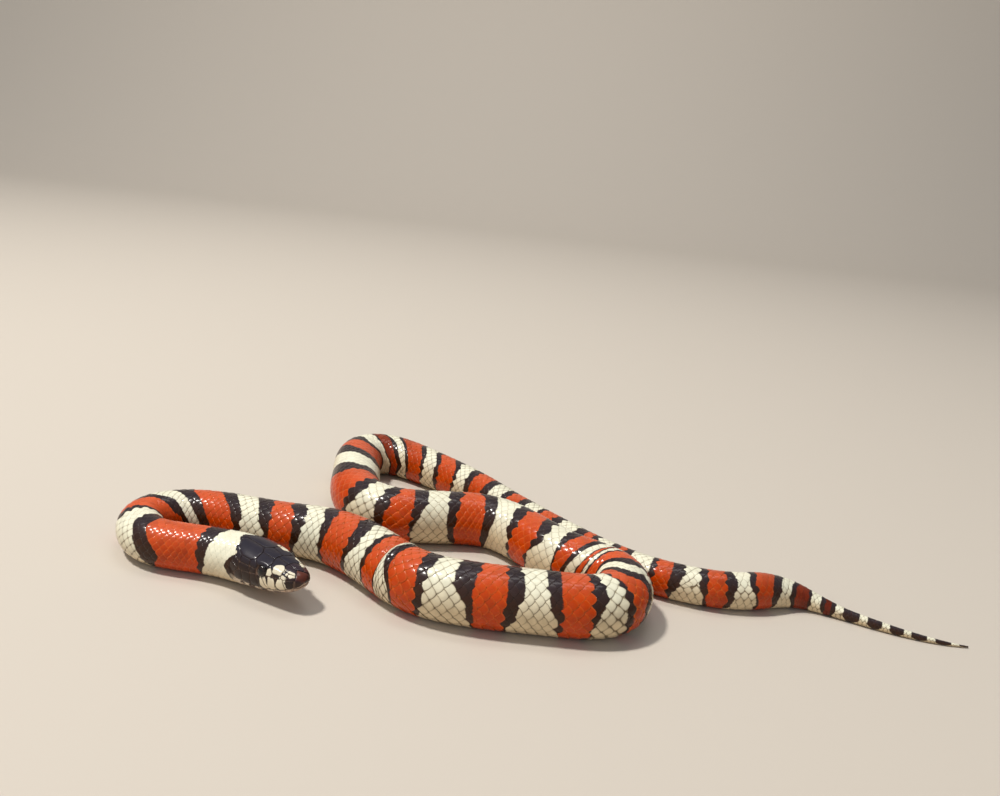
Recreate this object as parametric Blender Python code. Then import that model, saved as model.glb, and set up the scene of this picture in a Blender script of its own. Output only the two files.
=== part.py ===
"""Milk snake at life size, lying still on flat ground in loose bends.

The whole animal is one form of changing section, swept along a path on the ground
and parted into head, neck, trunk and tail lengths by thin cuts. The head is lifted a
little off the ground and has an eye in a socket on each side.
"""
import math

import bmesh
import bpy
import numpy as np
from mathutils import Vector

MM = 0.001

# The path of the backbone over the ground, seen from above, in millimetres.
# It runs from the snout to the tip of the tail.
HEAD_AND_NECK = [(-52.5, -44.0), (-60.5, -38.0), (-66.5, -34.0), (-73.0, -31.5), (-80.5, -30.0)]
LEFT_BEND = [(-92.0, -27.5), (-96.0, -18.0), (-92.0, -13.5)]
SECOND_RUN = [(-62.5, -16.5), (-54.5, -18.0), (-38.0, -29.5), (-29.0, -37.5)]
FRONT_RUN = [(-17.5, -40.5), (0.0, -41.0)]
RIGHT_BEND = [(16.0, -37.0), (17.5, -28.5), (7.5, -20.0)]
MIDDLE_RUN = [(0.0, -13.0), (-13.0, -1.5), (-33.0, -3.0), (-41.0, -2.0)]
BACK_BEND = [(-47.5, 3.5), (-52.0, 23.0), (-50.5, 40.0), (-49.0, 41.0)]
BACK_RUN = [(-32.0, 35.5), (-18.0, 24.5), (-5.5, 11.0), (5.5, -1.0), (19.5, -13.5)]
TAIL_RUN = [(27.5, -18.0), (50.5, -21.0), (63.0, -18.0), (71.5, -21.0)]
TAIL_END = [(98.5, -30.0), (101.5, -30.0)]
PATH = (HEAD_AND_NECK + LEFT_BEND + SECOND_RUN + FRONT_RUN + RIGHT_BEND + MIDDLE_RUN
        + BACK_BEND + BACK_RUN + TAIL_RUN + TAIL_END)
MIDDLE = (-0.47, -0.16)     # middle of the outline, which becomes the origin
SAMPLES = 1921              # points along the drawn path, about 0.25 mm apart
EASING = 9                  # points either side that ease each corner of it

# Half the body's width at distances from the snout, in millimetres.
GIRTH = [(0, 5.6), (45, 5.6), (70, 5.8), (90, 6.4), (110, 7.1), (150, 7.2), (205, 7.0),
         (265, 7.0), (295, 6.7), (325, 5.7), (355, 4.9), (400, 4.6), (430, 4.7),
         (438, 3.7), (444, 2.5), (451, 1.6), (461, 1.2), (471, 0.8), (480, 0.35)]
GIRTH_BLEND = 3.0       # the girth changes gradually over this length either way
BELLY_DROP = 0.93       # height of the backbone line, as a share of the half width
CUT = 0.3               # width of the thin cuts between lengths
RING_STEP = 4.4         # spacing of the rings where the body is straight
BEND_CROWDING = 1.5     # how much closer the rings lie in the tightest bends
AROUND = 24             # corners of each ring

# The lengths, by name and where each ends, in millimetres from the snout.
HEAD_LENGTH = 19.5
LENGTHS = [("neck", 34), ("trunk_1", 66), ("trunk_2", 105), ("trunk_3", 157),
           ("trunk_4", 197), ("trunk_5", 241), ("trunk_6", 282), ("trunk_7", 335),
           ("trunk_8", 366), ("trunk_9", 404), ("tail_1", 430), ("tail_2", 479.5)]

# The head, by distance back from the snout: half width, crown height and chin depth
# from its middle line, and how square its section is (2 is an ellipse).
HEAD_FORM = [(0.0, 1.4, 0.9, 1.0, 2.2), (0.5, 2.2, 1.5, 1.7, 2.3), (1.6, 3.0, 2.1, 2.4, 2.4),
             (3.5, 3.7, 2.8, 3.1, 2.5), (6.0, 4.2, 3.4, 3.7, 2.6), (9.0, 4.8, 4.0, 4.2, 2.6),
             (12.0, 5.4, 4.5, 4.6, 2.5), (15.5, 5.8, 5.1, 5.0, 2.3), (19.5, 5.6, 5.6, 5.4, 2.0)]
SNOUT_LENGTH = 2.6      # the rounded end of the snout
SNOUT_RINGS = 6
HEAD_RINGS = 15
SNOUT_RISE = 1.9        # lift of the snout over where it would lie
RISE_ENDS = 34.0        # the neck lies on the ground from here back
HEAD_LEAN = 4.5         # degrees, crown leaning to the snake's right
LEAN_ENDS = 30.0

EYE_BACK = 8.7          # eye centre behind the snout
EYE_UP = 1.7            # and above the head's middle line
EYE_RADIUS = 1.3
EYE_PROUD = 0.0         # how far the eye stands out of the widest line of the head
SOCKET_GAP = 0.15

COLOURS = {
    "black": ((0.012, 0.010, 0.012, 1.0), 0.35),
    "red": ((0.56, 0.075, 0.018, 1.0), 0.40),
    "white": ((0.84, 0.80, 0.64, 1.0), 0.40),
    "eye": ((0.010, 0.006, 0.005, 1.0), 0.05),
}


def natural_spline(points, samples):
    """Return points along a smooth curve through the given points."""
    points = np.array(points, float)
    spans = np.linalg.norm(np.diff(points, axis=0), axis=1)
    knots = np.concatenate([[0.0], np.cumsum(spans)])
    count = len(points)
    system = np.eye(count)
    target = np.zeros((count, 2))
    for i in range(1, count - 1):
        system[i, i - 1] = spans[i - 1]
        system[i, i] = 2 * (spans[i - 1] + spans[i])
        system[i, i + 1] = spans[i]
        slope_after = (points[i + 1] - points[i]) / spans[i]
        slope_before = (points[i] - points[i - 1]) / spans[i - 1]
        target[i] = 6 * (slope_after - slope_before)
    bend = np.linalg.solve(system, target)
    at = np.linspace(0.0, knots[-1], samples)
    k = np.clip(np.searchsorted(knots, at, side="right") - 1, 0, count - 2)
    span = spans[k][:, None]
    before = (knots[k + 1] - at)[:, None] / span
    after = (at - knots[k])[:, None] / span
    straight = before * points[k] + after * points[k + 1]
    curved = (before ** 3 - before) * bend[k] + (after ** 3 - after) * bend[k + 1]
    return straight + curved * span ** 2 / 6


def soften(line, reach):
    """Ease the tightest corners of a sampled line, keeping its ends."""
    kernel = np.ones(2 * reach + 1) / (2 * reach + 1)
    padded = np.vstack([2 * line[0] - line[reach:0:-1], line, 2 * line[-1] - line[-2:-reach - 2:-1]])
    return np.stack([np.convolve(padded[:, k], kernel, mode="valid") for k in (0, 1)], axis=1)


LINE = soften(soften(natural_spline(PATH, SAMPLES), EASING), EASING) - MIDDLE
ALONG = np.concatenate([[0.0], np.cumsum(np.linalg.norm(np.diff(LINE, axis=0), axis=1))])


def point_at(distance):
    return np.array([np.interp(distance, ALONG, LINE[:, k]) for k in (0, 1)])


def heading_at(distance):
    """Unit direction from the snout towards the tail."""
    middle = np.clip(distance, 0.5, ALONG[-1] - 0.5)
    step = point_at(middle + 0.4) - point_at(middle - 0.4)
    return step / np.linalg.norm(step)


def bend_at(distance):
    """How tight the bend is: 0 is straight, 1 turns about the body's own side."""
    before = heading_at(distance - 1)
    after = heading_at(distance + 1)
    turn = abs(before[0] * after[1] - before[1] * after[0])
    return half_width(distance) * turn / 2


def half_width(distance):
    stations, widths = zip(*GIRTH)
    spread = np.linspace(-GIRTH_BLEND, GIRTH_BLEND, 13)
    return float(np.mean(np.interp(distance + spread, stations, widths)))


def middle_height(distance):
    """Height of the middle line over the ground, which rises towards the snout."""
    share = max(0.0, (RISE_ENDS - distance) / RISE_ENDS)
    return BELLY_DROP * half_width(distance) + SNOUT_RISE * share ** 1.5


def place(distance, out, up):
    """A point beside and above the middle line, with the lean of the head."""
    heading = heading_at(distance)
    side = np.array([-heading[1], heading[0]])
    lean = math.radians(HEAD_LEAN) * max(0.0, min(1.0, (LEAN_ENDS - distance) / HEAD_LENGTH))
    across = out * math.cos(lean) + up * math.sin(lean)
    upward = up * math.cos(lean) - out * math.sin(lean)
    return Vector((*(point_at(distance) + side * across), middle_height(distance) + upward))


def section(distance):
    """Half width, crown height, chin depth and squareness of the form there."""
    if distance >= HEAD_LENGTH:
        radius = half_width(distance)
        return radius, radius, radius, 2.0
    stations = [row[0] for row in HEAD_FORM]
    reach = min(1.0, distance / 2)
    spread = np.linspace(distance - reach, distance + reach, 7)
    return [float(np.mean(np.interp(spread, stations, [row[k] for row in HEAD_FORM])))
            for k in range(1, 5)]


def ring(distance):
    """One ring of the form, with a flat strip of belly underneath."""
    wide, crown, chin, square = section(distance)
    flat = math.acos(BELLY_DROP)
    points = []
    for i in range(AROUND):
        angle = flat + (2 * math.pi - 2 * flat) * i / (AROUND - 1)
        out = math.sin(angle)
        up = -math.cos(angle)
        grow = (abs(out) ** square + abs(up) ** square) ** (-1 / square)
        height = crown if up > 0 else chin
        points.append(place(distance, wide * out * grow, height * up * grow))
    return points


def loft(name, rings):
    """Make a closed solid through rings of points given in millimetres."""
    form = bmesh.new()
    loops = [[form.verts.new([value * MM for value in point]) for point in ring] for ring in rings]
    for near, far in zip(loops, loops[1:]):
        for i in range(len(near)):
            j = (i + 1) % len(near)
            form.faces.new((near[i], near[j], far[j], far[i]))
    form.faces.new(loops[0])
    form.faces.new(loops[-1])
    bmesh.ops.recalc_face_normals(form, faces=form.faces)
    for face in form.faces:
        face.smooth = len(face.verts) == 4
    mesh = bpy.data.meshes.new(name)
    form.to_mesh(mesh)
    form.free()
    return add_object(name, mesh)


def add_object(name, mesh):
    piece = bpy.data.objects.new(name, mesh)
    bpy.data.collections[COLLECTION].objects.link(piece)
    return piece


def ball(name, radius, centre):
    """A closed ball."""
    form = bmesh.new()
    bmesh.ops.create_uvsphere(form, u_segments=16, v_segments=10, radius=radius * MM)
    bmesh.ops.translate(form, vec=centre * MM, verts=form.verts)
    for face in form.faces:
        face.smooth = True
    mesh = bpy.data.meshes.new(name)
    form.to_mesh(mesh)
    form.free()
    return add_object(name, mesh)


def paint(piece, colour):
    """Give a piece its own material."""
    base, roughness = COLOURS[colour]
    material = bpy.data.materials.new(piece.name + "_" + colour)
    material.use_nodes = True
    shader = material.node_tree.nodes["Principled BSDF"]
    shader.inputs["Base Color"].default_value = base
    shader.inputs["Roughness"].default_value = roughness
    shader.inputs["Metallic"].default_value = 0.0
    piece.data.materials.append(material)


def cut_socket(head, tool):
    """Take an eye's room out of the head."""
    socket = head.modifiers.new("socket", "BOOLEAN")
    socket.operation = "DIFFERENCE"
    socket.solver = "EXACT"
    socket.object = tool
    bpy.context.view_layer.update()
    shaped = bpy.data.meshes.new_from_object(head.evaluated_get(bpy.context.evaluated_depsgraph_get()))
    head.modifiers.remove(socket)
    head.data = shaped
    bpy.data.objects.remove(tool)


def make_head():
    snout = [SNOUT_LENGTH * (i / SNOUT_RINGS) ** 1.7 for i in range(SNOUT_RINGS)]
    back = np.linspace(SNOUT_LENGTH, HEAD_LENGTH - CUT / 2, HEAD_RINGS + 1)
    head = loft("head", [ring(distance) for distance in [*snout, *back]])
    wide = section(EYE_BACK)[0]
    for name, side in (("right_eye", 1), ("left_eye", -1)):
        centre = place(EYE_BACK, side * (wide + EYE_PROUD - EYE_RADIUS), EYE_UP)
        cut_socket(head, ball("socket_tool", EYE_RADIUS + SOCKET_GAP, centre))
        paint(ball(name, EYE_RADIUS, centre), "eye")
    paint(head, "black")


def spread_rings(first, last):
    """Distances for the rings of one length, closer together where it bends."""
    fine = np.linspace(first, last, 101)
    crowding = np.array([1 + BEND_CROWDING * bend_at(distance) for distance in fine])
    pace = np.concatenate([[0.0], np.cumsum((crowding[1:] + crowding[:-1]) / 2 * np.diff(fine))])
    count = round(pace[-1] / RING_STEP)
    return np.interp(np.linspace(0.0, pace[-1], count + 1), pace, fine)


def make_lengths():
    start = HEAD_LENGTH
    for name, end in LENGTHS:
        stations = spread_rings(start + CUT / 2, end - CUT / 2)
        length = loft(name, [ring(distance) for distance in stations])
        paint(length, "white" if name == "neck" else "red")
        start = end


COLLECTION = "milk_snake"
for old in list(bpy.data.objects):
    bpy.data.objects.remove(old)
bpy.context.scene.collection.children.link(bpy.data.collections.new(COLLECTION))
make_head()
make_lengths()
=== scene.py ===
"""The looks of a life-size milk snake, built over its solids.

One skin follows the body from the snout to the tip of the tail. Over it lie solid
scales: plates on the head, rows of smooth scales on the back and sides, broad scutes
under the belly and pairs of them under the tail. Sizes are in millimetres until a mesh
is made. A place on the body is given by s, its distance along the body from the snout,
and theta, its degrees from the middle of the back, positive on the snake's right.
"""

import math

import bpy
import numpy as np
from mathutils import Matrix, Vector


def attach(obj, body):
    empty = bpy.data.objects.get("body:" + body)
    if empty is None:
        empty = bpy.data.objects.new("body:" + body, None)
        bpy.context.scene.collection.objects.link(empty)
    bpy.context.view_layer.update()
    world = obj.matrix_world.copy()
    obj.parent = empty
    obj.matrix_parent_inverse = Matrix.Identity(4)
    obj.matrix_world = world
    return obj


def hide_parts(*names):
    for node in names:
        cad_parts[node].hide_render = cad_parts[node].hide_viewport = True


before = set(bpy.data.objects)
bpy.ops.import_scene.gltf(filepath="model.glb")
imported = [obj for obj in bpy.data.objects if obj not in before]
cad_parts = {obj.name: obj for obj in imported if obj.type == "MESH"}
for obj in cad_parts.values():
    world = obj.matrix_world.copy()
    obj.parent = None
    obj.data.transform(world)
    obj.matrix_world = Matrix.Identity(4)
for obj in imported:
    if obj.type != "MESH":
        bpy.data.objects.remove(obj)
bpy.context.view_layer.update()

MM = 0.001
UPWARD = np.array([0.0, 0.0, 1.0])
RANDOM = np.random.default_rng(7)

# The path of the backbone over the ground, from the snout to the tip of the tail, and
# the girth and the form of the head along it. They are those of the solids. The girth
# is given as distance and half the width, and the form of the head as distance, half the
# width, height of the crown, depth of the chin and how square its section is, an ellipse
# being 2.
HEAD_AND_NECK = [(-52.5, -44.0), (-60.5, -38.0), (-66.5, -34.0), (-73.0, -31.5), (-80.5, -30.0)]
LEFT_BEND = [(-92.0, -27.5), (-96.0, -18.0), (-92.0, -13.5)]
SECOND_RUN = [(-62.5, -16.5), (-54.5, -18.0), (-38.0, -29.5), (-29.0, -37.5)]
FRONT_RUN = [(-17.5, -40.5), (0.0, -41.0)]
RIGHT_BEND = [(16.0, -37.0), (17.5, -28.5), (7.5, -20.0)]
MIDDLE_RUN = [(0.0, -13.0), (-13.0, -1.5), (-33.0, -3.0), (-41.0, -2.0)]
BACK_BEND = [(-47.5, 3.5), (-52.0, 23.0), (-50.5, 40.0), (-49.0, 41.0)]
BACK_RUN = [(-32.0, 35.5), (-18.0, 24.5), (-5.5, 11.0), (5.5, -1.0), (19.5, -13.5)]
TAIL_RUN = [(27.5, -18.0), (50.5, -21.0), (63.0, -18.0), (71.5, -21.0)]
TAIL_END = [(98.5, -30.0), (101.5, -30.0)]
PATH = (HEAD_AND_NECK + LEFT_BEND + SECOND_RUN + FRONT_RUN + RIGHT_BEND + MIDDLE_RUN
        + BACK_BEND + BACK_RUN + TAIL_RUN + TAIL_END)
MIDDLE = (-0.47, -0.16)     # middle of the outline, which becomes the origin
SAMPLES = 1921
EASING = 9                  # samples either side that ease each corner of the path
GIRTH = [(0, 5.6), (45, 5.6), (70, 5.8), (90, 6.4), (110, 7.1), (150, 7.2), (205, 7.0),
         (265, 7.0), (295, 6.7), (325, 5.7), (355, 4.9), (400, 4.6), (430, 4.7),
         (438, 3.7), (444, 2.5), (451, 1.6), (461, 1.2), (471, 0.8), (480, 0.35)]
GIRTH_BLEND = 3.0           # the girth is averaged over this distance either way
BELLY_DROP = 0.93           # height of the middle line over the ground, as a share of half the width
HEAD_LENGTH = 19.5
HEAD_FORM = [(0.0, 1.4, 0.9, 1.0, 2.2), (0.5, 2.2, 1.5, 1.7, 2.3), (1.6, 3.0, 2.1, 2.4, 2.4),
             (3.5, 3.7, 2.8, 3.1, 2.5), (6.0, 4.2, 3.4, 3.7, 2.6), (9.0, 4.8, 4.0, 4.2, 2.6),
             (12.0, 5.4, 4.5, 4.6, 2.5), (15.5, 5.8, 5.1, 5.0, 2.3), (19.5, 5.6, 5.6, 5.4, 2.0)]
SNOUT_RISE = 1.9            # lift of the snout over where it would lie
RISE_ENDS = 34.0            # the neck lies on the ground from here back
HEAD_LEAN = 4.5             # degrees, the crown leaning to the snake's right
LEAN_ENDS = 30.0
EYE_BACK = 8.7              # from the snout to the middle of the eye
EYE_UP = 1.7                # and its height over the middle line
EYE_RADIUS = 1.3

# The coat: how far the skin lies under the surface of the solids, and how its scales lie.
BODY_COAT = 0.30
HEAD_COAT = 0.17
SNOUT_TIP = 0.6             # the snout closes over this length
VENT = 404.0                # where the tail begins
PITCH_FIXED = 0.65          # spacing of scales along the body: a fixed part,
PITCH_SHARE = 0.225         # and this share of the girth
NECK_PITCH = 0.84           # share of that spacing left on the neck
FOLD_CROWDING = 0.68        # share of it lost in the fold
DORSAL_SPAN = 130.0         # degrees either side of the back that the small scales cover
SCALES_START = 9.0          # the first cross row of small scales lies here
LONGEST = 1.12              # a scale on the outside of a bend is stretched no further
CROWDED = 0.6               # inside a bend sharper than this, scales overlap more
FULL_GIRTH = 7.0            # the girth at which scales have their full thickness

# Rings, by distance from the snout: where the black begins, the white begins, the white
# ends and the black ends. Each ring has these on the middle of the back, then 45 and 90
# degrees down the side that faces the camera, and some of them 45 degrees down the other
# side too. Between two rings is red.
RINGS = [
    [(18.0, 18.0, 24.3, 28.5), (18.0, 18.0, 25.7, 29.0), (18.0, 18.0, 26.0, 28.0)],
    [(41.0, 45.0, 48.8, 50.2), (40.8, 43.9, 49.0, 50.7), (37.5, 41.5, 50.0, 51.5)],
    [(54.8, 57.3, 61.8, 66.0), (58.4, 61.8, 65.8, 69.7), (63.5, 66.0, 69.5, 72.5)],
    [(72.6, 76.8, 82.2, 86.8), (77.5, 80.5, 85.4, 88.4), (79.5, 81.5, 87.5, 88.8)],
    [(91.5, 95.1, 100.2, 103.8), (93.7, 96.9, 102.5, 105.1), (94.0, 95.5, 103.0, 104.5)],
    [(111.0, 115.0, 120.0, 121.2), (113.2, 116.6, 120.0, 121.5), (112.8, 114.2, 120.6, 121.2)],
    [(125.0, 125.2, 126.2, 128.0), (125.1, 125.2, 126.1, 127.6), (124.8, 125.3, 129.0, 129.6)],
    [(132.7, 136.0, 140.7, 145.6), (133.3, 135.2, 140.4, 144.5), (134.0, 135.5, 143.5, 144.8)],
    [(150.8, 154.0, 159.5, 162.7), (151.4, 155.0, 159.9, 162.8), (151.0, 153.4, 162.0, 163.3)],
    [(168.6, 170.8, 174.0, 174.7), (168.9, 171.6, 174.7, 175.6), (168.7, 169.3, 174.0, 175.3)],
    [(177.2, 179.5, 182.7, 186.0), (179.7, 181.6, 183.4, 184.8), (177.5, 179.0, 181.0, 182.0),
     (181.2, 183.3, 187.2, 189.0)],
    [(189.4, 190.0, 191.0, 191.3), (191.8, 192.4, 193.3, 193.6), (193.5, 194.2, 195.2, 195.5)],
    [(191.6, 192.0, 193.8, 195.8), (194.6, 194.9, 197.0, 198.2), (196.5, 197.0, 199.0, 200.0)],
    [(199.5, 202.5, 207.0, 210.8), (201.3, 202.1, 206.0, 208.0), (201.6, 202.0, 208.6, 209.4)],
    [(216.0, 219.5, 226.5, 230.3), (214.8, 217.6, 223.2, 227.9), (215.0, 215.7, 223.5, 227.8)],
    [(235.0, 238.7, 244.3, 247.8), (236.7, 239.7, 245.0, 247.8), (237.9, 240.0, 248.0, 248.6)],
    [(251.2, 254.3, 259.5, 262.8), (252.9, 255.5, 259.8, 262.6), (253.4, 255.0, 261.5, 262.8)],
    [(270.0, 274.0, 283.0, 287.8), (272.0, 278.5, 288.0, 293.0), (275.0, 282.0, 292.0, 295.0),
     (269.5, 274.3, 280.5, 284.3)],
    [(295.0, 298.2, 302.6, 303.2), (293.9, 296.3, 304.2, 305.2), (303.0, 306.0, 311.0, 312.0)],
    [(306.4, 307.2, 310.9, 311.9), (310.5, 312.8, 315.7, 316.7), (314.5, 316.5, 318.0, 319.0)],
    [(319.0, 320.5, 324.9, 326.8), (322.2, 323.6, 327.8, 329.3), (323.5, 324.5, 328.5, 330.0)],
    [(331.6, 334.8, 339.5, 342.2), (335.2, 336.3, 340.2, 342.5), (335.5, 336.5, 341.0, 342.8)],
    [(347.2, 349.9, 354.3, 356.6)],
    [(360.4, 363.0, 367.4, 368.8)],
    [(372.8, 375.6, 380.8, 383.6)],
    [(385.6, 387.4, 391.4, 393.4)],
    [(395.2, 397.2, 402.3, 403.6)],
    [(407.3, 410.1, 413.7, 415.6), (407.3, 410.1, 413.7, 415.6), (407.0, 408.8, 414.5, 415.6)],
    [(419.6, 421.7, 425.8, 427.6), (419.4, 421.9, 424.9, 426.4), (419.8, 421.2, 426.0, 426.8)],
    [(433.4, 435.5, 438.7, 440.0), (431.2, 433.4, 436.9, 438.6), (430.0, 432.6, 436.2, 438.2)],
    [(442.6, 443.4, 445.8, 446.9)],
    [(448.3, 449.4, 451.2, 453.0)],
    [(453.0, 455.0, 456.8, 458.5)],
    [(458.5, 460.1, 461.8, 463.5)],
    [(463.5, 465.0, 466.6, 468.4)],
    [(468.4, 470.2, 472.0, 473.9)],
    [(473.9, 475.8, 477.7, 490.0)],
]
RED_BEGINS = 20.0
FACING_SIDE = [(0.0, 1), (52.0, -1), (183.0, 1), (292.0, -1)]   # 1 is the snake's right
OUTSIDE = -9.0              # the depth of a place that lies far outside a marking

# Low on the sides the white takes up this share of the black beside it. On the side that
# the table of rings describes, that begins lower down.
FLARE_FACING = [(0, 0.0), (90, 0.0), (130, 0.62), (180, 0.85)]
FLARE_BEYOND = [(0, 0.0), (55, 0.0), (80, 0.40), (95, 0.62), (125, 0.78), (180, 0.85)]

# The skin is pinched into a fold here, over the back and both flanks: its rim and the
# grooves before and behind it, as distance from the fold, reach and height.
FOLD = 125.6
FOLD_FORM = [(0.2, 0.38, 0.136), (-0.75, 0.42, -0.34), (1.25, 0.55, -0.272)]
FOLD_ENDS = (50.0, 95.0)    # degrees down the side between which it dies out

# How dark the red is along the body.
DUSK = [(0, 0.0), (294, 0.0), (302, 0.72), (309, 0.72), (316, 0.25), (326, 0.0), (400, 0.0), (418, 0.12),
        (430, 0.25), (440, 0.75), (444, 1.0), (480, 1.0)]

# Colours, as linear red, green and blue.
WHITE_TOP = (0.84, 0.82, 0.65)
# The white's side tone is partly its own tan towards the belly and partly painted shade.
WHITE_SIDE_TAN_AND_SHADE = (0.68, 0.54, 0.34)
# The red's top tone carries a painted pinkish sheen of reflected sky; its side tone is a deeper orange,
# darkened by painted shade.
RED_TOP_SHEEN = (0.64, 0.108, 0.040)
RED_SIDE_SHADED = (0.54, 0.052, 0.001)
# The black's top tone carries a painted bluish sheen of reflected sky, and its side tone a painted warm
# reflection of the ground.
BLACK_TOP_SHEEN = (0.031, 0.022, 0.026)
BLACK_SIDE_WARM_REFLECTION = (0.036, 0.012, 0.004)
# The head's black top tone carries a painted bluish sheen of reflected sky.
HEAD_BLACK_TOP_SHEEN = (0.022, 0.019, 0.030)
HEAD_BLACK_SIDE = (0.022, 0.009, 0.005)
DARK_RED = (0.13, 0.016, 0.005)
# Rims of the white scales: partly their own grey-brown skin, partly painted shade in the gaps between scales,
# darker down the sides.
WHITE_RIM_AND_SHADE_TOP = (0.50, 0.45, 0.32)
WHITE_RIM_AND_SHADE_SIDE = (0.23, 0.17, 0.10)
# Rims of the red scales are a lighter orange: a painted highlight.
RED_RIM_HIGHLIGHT = (0.66, 0.125, 0.022)
BLACK_EDGE = (0.052, 0.031, 0.024)
SNOUT_BROWN = (0.125, 0.033, 0.020)
SEAM_BROWN = (0.17, 0.105, 0.075)
JAW_PINK = (0.48, 0.34, 0.25)
JAW_PALE = (0.62, 0.50, 0.37)
JAW_SPOT = (0.06, 0.026, 0.016)
PALE_PATCH = (0.80, 0.73, 0.56)
# A dark line along the mouth: painted shade in its slit.
MOUTH_SHADE = (0.03, 0.012, 0.010)
# The nostril is near black: painted shade inside it.
NOSTRIL_SHADE = (0.006, 0.004, 0.004)
PUPIL = (0.002, 0.002, 0.002)
IRIS = (0.016, 0.007, 0.005)
IRIS_RIM = (0.004, 0.003, 0.003)


def mix(first, second, share):
    """Blend two colours, where share is a number for each point."""
    share = np.asarray(share, float)[..., None]
    return np.asarray(first, float) * (1 - share) + np.asarray(second, float) * share


def smooth_step(value, low, high):
    """0 below low, 1 above high, and smooth between them."""
    t = np.clip((np.asarray(value, float) - low) / (high - low), 0.0, 1.0)
    return t * t * (3 - 2 * t)


def bell(value, middle, reach):
    """1 at the middle, falling away smoothly either side of it."""
    return np.exp(-((value - middle) / reach) ** 2)


def read(table, place):
    """A value from a table of places and values."""
    return np.interp(place, *zip(*table))


def run_along(points):
    """Distance along a line of points, at each of them."""
    return np.concatenate([[0.0], np.cumsum(np.linalg.norm(np.diff(points, axis=0), axis=1))])


def natural_spline(points, samples):
    """Return points along a smooth curve through the given points."""
    points = np.array(points, float)
    knots = run_along(points)
    spans = np.diff(knots)
    count = len(points)
    system = np.eye(count)
    target = np.zeros((count, 2))
    for i in range(1, count - 1):
        system[i, i - 1] = spans[i - 1]
        system[i, i] = 2 * (spans[i - 1] + spans[i])
        system[i, i + 1] = spans[i]
        slope_after = (points[i + 1] - points[i]) / spans[i]
        slope_before = (points[i] - points[i - 1]) / spans[i - 1]
        target[i] = 6 * (slope_after - slope_before)
    bend = np.linalg.solve(system, target)
    at = np.linspace(0.0, knots[-1], samples)
    k = np.clip(np.searchsorted(knots, at, side="right") - 1, 0, count - 2)
    span = spans[k][:, None]
    before = (knots[k + 1] - at)[:, None] / span
    after = (at - knots[k])[:, None] / span
    straight = before * points[k] + after * points[k + 1]
    curved = (before ** 3 - before) * bend[k] + (after ** 3 - after) * bend[k + 1]
    return straight + curved * span ** 2 / 6


def soften(line, reach):
    """Ease the tightest corners of a sampled line, keeping its ends."""
    kernel = np.ones(2 * reach + 1) / (2 * reach + 1)
    padded = np.vstack([2 * line[0] - line[reach:0:-1], line, 2 * line[-1] - line[-2:-reach - 2:-1]])
    return np.stack([np.convolve(padded[:, k], kernel, mode="valid") for k in (0, 1)], axis=1)


LINE = soften(soften(natural_spline(PATH, SAMPLES), EASING), EASING) - MIDDLE
ALONG = run_along(LINE)
LENGTH = ALONG[-1]

# Values along the body, read from these tables by every part of the coat.
STATIONS = np.linspace(0.0, LENGTH, 9601)
TRACK = np.stack([np.interp(STATIONS, ALONG, LINE[:, k]) for k in (0, 1)], axis=1)
DIRECTION = np.gradient(soften(TRACK, 8), STATIONS, axis=0)
TURN = np.unwrap(np.arctan2(DIRECTION[:, 1], DIRECTION[:, 0]))
CURVING = np.gradient(TURN, STATIONS)


def averaged(rows, column, reach):
    """A column of a table by distance, averaged over reach either way."""
    spread = np.linspace(-1.0, 1.0, 13)[:, None] * reach
    return np.mean(read([(row[0], row[column]) for row in rows], STATIONS + spread), axis=0)


GIRTHS = averaged(GIRTH, 1, GIRTH_BLEND)
HEAD_REACH = np.minimum(1.0, STATIONS / 2)
ON_BODY = smooth_step(STATIONS, HEAD_LENGTH - 2.0, HEAD_LENGTH)
TIP_CLOSING = np.sqrt(1 - (1 - np.minimum(STATIONS, SNOUT_TIP) / SNOUT_TIP) ** 2)


def head_then_body(column, behind):
    """A column of the head's form, and what takes its place behind the head."""
    return averaged(HEAD_FORM, column, HEAD_REACH) * (1 - ON_BODY) + behind * ON_BODY


WIDE, CROWN, CHIN = [head_then_body(column, GIRTHS) * TIP_CLOSING for column in (1, 2, 3)]
SQUARE = head_then_body(4, 2.0)


def along(values, s):
    """Read values that are given along the body."""
    return np.interp(s, STATIONS, values)


def middle_height(s):
    """Height of the middle line over the ground, which rises towards the snout."""
    share = np.maximum(0.0, (RISE_ENDS - s) / RISE_ENDS)
    return BELLY_DROP * along(GIRTHS, s) + SNOUT_RISE * share ** 1.5


# The sculpted form of the head: swellings and hollows as distance from the snout,
# degrees down the side, their reach in each, and how far they stand out.
SWELLINGS = [
    (9.0, 42.0, 2.3, 8.5, 0.24),        # brow
    (14.0, 46.0, 2.8, 9.0, 0.10),       # ridge of the temple
    (4.6, 40.0, 2.4, 7.0, 0.10),        # edge of the snout
    (4.8, 66.0, 1.7, 13.0, -0.26),      # hollow in front of the eye
    (11.4, 66.0, 1.2, 12.0, -0.12),     # hollow behind the eye
    (14.6, 82.0, 3.0, 22.0, 0.20),      # jaw muscle
    (6.5, 103.0, 5.0, 9.0, 0.12),       # upper lip
    (6.5, 0.0, 2.6, 16.0, -0.12),       # dip between the eyes
    (14.6, 0.0, 2.6, 5.0, -0.08),       # furrow of the crown
    (1.6, 0.0, 0.9, 26.0, 0.06),        # top of the snout
]
MOUTH_LINE = [(0.0, 118.0), (0.9, 108.0), (2.7, 115.5), (4.5, 119.5), (6.6, 121.5), (8.9, 121.0),
              (11.3, 116.5), (13.7, 110.0), (16.2, 104.0)]
MOUTH_CORNER = 16.0
MOUTH_DEPTH = 0.30
MOUTH_WIDTH = 0.13
JAW_INSET = 0.16            # the lower jaw lies this far inside the upper lip
EYE_MIDDLE = (8.75, 62.0)   # where the eye shows: distance from the snout, degrees
EYE_OPENING = 1.16
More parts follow.
